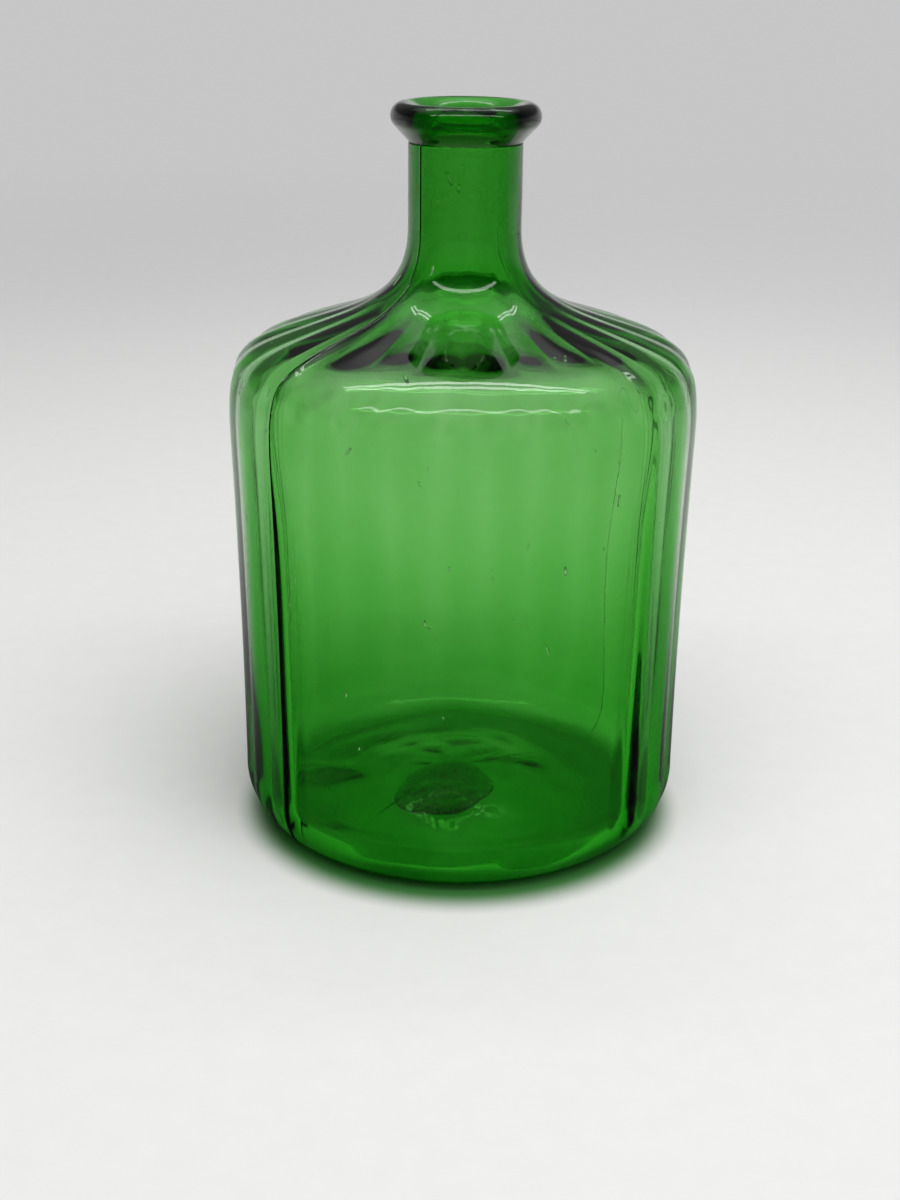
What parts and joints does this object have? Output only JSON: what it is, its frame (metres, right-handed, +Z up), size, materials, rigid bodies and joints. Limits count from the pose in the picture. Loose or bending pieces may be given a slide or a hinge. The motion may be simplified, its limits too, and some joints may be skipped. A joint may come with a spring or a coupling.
{
  "type": "glass bottle",
  "caption": "Squat round glass bottle with a smooth sunk label panel, vertical flutes round its sides and back, a sloping shoulder, a short neck and a flared laid-on lip.",
  "frame": {"origin": "centre of the base, on the surface that the bottle stands on", "axes": "+Z up along the bottle's axis; -Y out of the middle of the smooth label panel; +X to the right of someone who faces the panel"},
  "size_m": [0.1296, 0.1297, 0.2025],
  "materials": {
    "body_glass": "clear mould-blown green glass with a fire-polished surface",
    "lip_glass": "thick clear green glass, tooled round",
    "scar_glass": "rough broken green glass"
  },
  "bodies": {
    "root": {"bottle_body": "body_glass", "applied_lip": "lip_glass", "pontil_scar": "scar_glass"}
  },
  "joints": []
}
